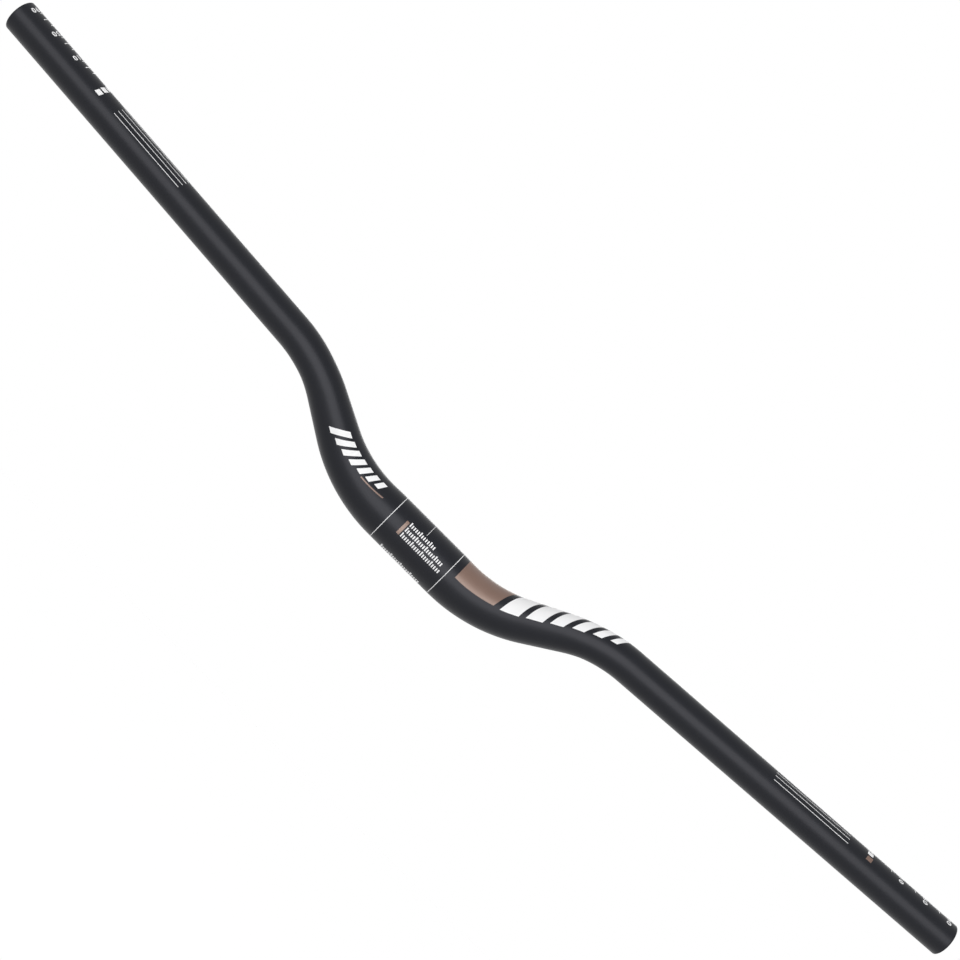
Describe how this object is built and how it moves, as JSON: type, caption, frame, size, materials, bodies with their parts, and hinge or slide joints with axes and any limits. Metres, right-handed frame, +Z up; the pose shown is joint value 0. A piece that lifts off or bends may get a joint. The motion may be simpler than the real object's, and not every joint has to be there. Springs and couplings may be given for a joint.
{
  "type": "bicycle handlebar",
  "caption": "Wide mountain-bike handlebar with a low rise: one alloy tube, thick at the stem clamp, drawn down and bent up and back into slim open ends for grips.",
  "frame": {"origin": "middle of the stem clamp, on the tube's axis", "axes": "+X along the clamp towards the rider's left hand, +Y back towards the rider, +Z up"},
  "size_m": [0.8, 0.0784, 0.0864],
  "materials": {
    "black_finish": "satin"
  },
  "bodies": {
    "root": {"handlebar": "black_finish"}
  },
  "joints": []
}
